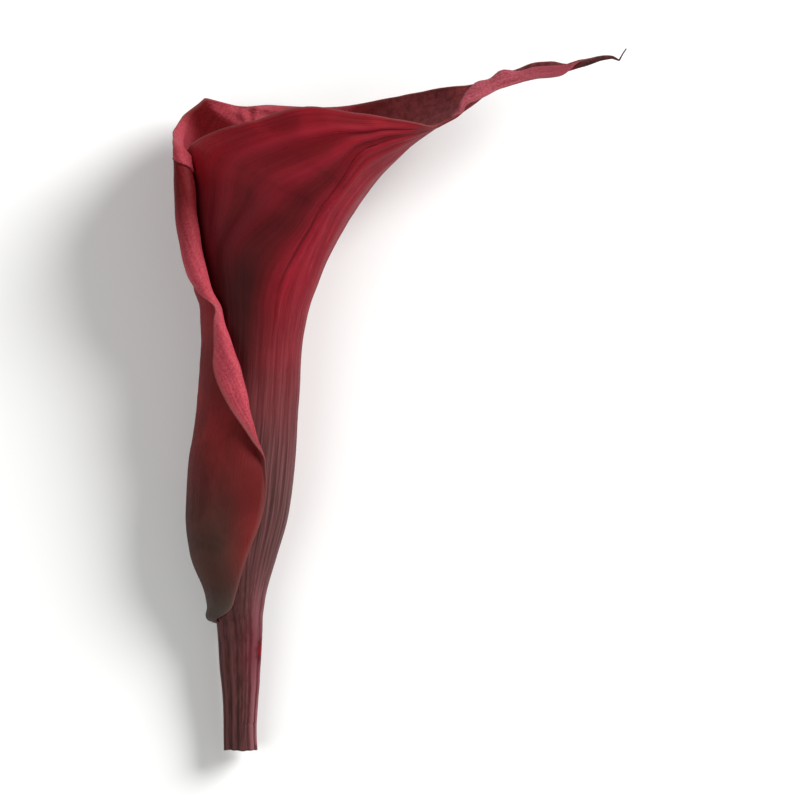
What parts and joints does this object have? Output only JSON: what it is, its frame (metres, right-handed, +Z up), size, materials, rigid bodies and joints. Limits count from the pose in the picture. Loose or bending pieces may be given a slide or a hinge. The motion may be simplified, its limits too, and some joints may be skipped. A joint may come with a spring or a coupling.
{
  "type": "calla lily flower",
  "caption": "Cut calla lily flower lying on its side: a dark spathe rolled into a funnel with a drawn-out tip, round a slender spadix, on a short ribbed stem.",
  "frame": {"origin": "on the floor, under the middle of the lying flower's bounding box", "axes": "+Z up from the floor, +Y from the cut stem towards the mouth, +X towards the tip of the spathe"},
  "size_m": [0.0912, 0.14, 0.0358],
  "materials": {
    "stem": "satin",
    "spathe": "satin",
    "spadix_pistillate": "satin",
    "spadix_staminate": "matte"
  },
  "bodies": {
    "root": {"stem": "stem", "spathe": "spathe", "spadix_pistillate": "spadix_pistillate", "spadix_staminate": "spadix_staminate"}
  },
  "joints": []
}
